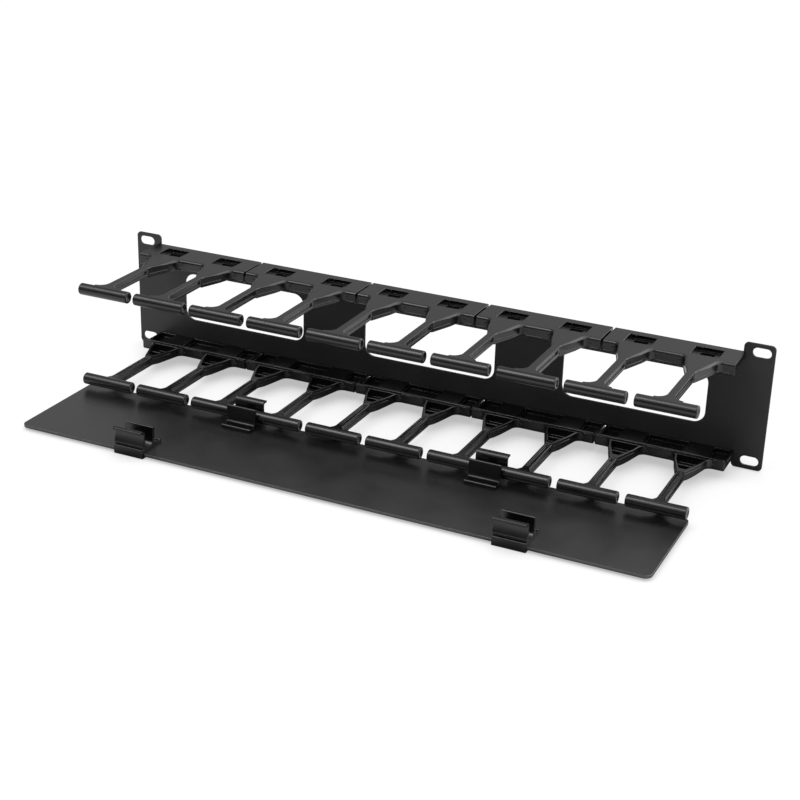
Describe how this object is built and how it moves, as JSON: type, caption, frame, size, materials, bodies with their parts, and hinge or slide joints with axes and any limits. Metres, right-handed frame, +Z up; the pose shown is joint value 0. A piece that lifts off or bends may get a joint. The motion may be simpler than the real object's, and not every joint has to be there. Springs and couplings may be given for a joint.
{
  "type": "horizontal cable manager",
  "caption": "Rack panel with cable windows, two rows of T-ended cable fingers and a flat cover that snaps and hinges on the finger bars.",
  "frame": {"origin": "centre of the four rack slots, on the front face of the panel", "axes": "+X along the panel to the right, +Y towards the rack behind the panel, +Z up"},
  "size_m": [0.4826, 0.18, 0.0882],
  "materials": {
    "powder_coated_steel": "satin black powder coat",
    "moulded_plastic": "fine-textured black moulding",
    "smooth_plastic_sheet": "smooth satin black sheet"
  },
  "bodies": {
    "frame": {"rack_panel": "powder_coated_steel", "upper_finger_module_1": "moulded_plastic", "upper_finger_module_2": "moulded_plastic", "upper_finger_module_3": "moulded_plastic", "upper_finger_module_4": "moulded_plastic", "upper_finger_module_5": "moulded_plastic", "lower_finger_module_1": "moulded_plastic", "lower_finger_module_2": "moulded_plastic", "lower_finger_module_3": "moulded_plastic", "lower_finger_module_4": "moulded_plastic", "lower_finger_module_5": "moulded_plastic"},
    "cover": {"cover_plate": "smooth_plastic_sheet", "hinge_clip_left": "moulded_plastic", "hinge_clip_right": "moulded_plastic", "latch_clip_left": "moulded_plastic", "latch_clip_right": "moulded_plastic"}
  },
  "joints": [
    {"name": "cover_hinge", "type": "hinge", "parent": "frame", "child": "cover", "pos_m": [0, -0.10144, -0.0336], "axis": [-1, 0, 0], "range_deg": [0, 90]}
  ]
}
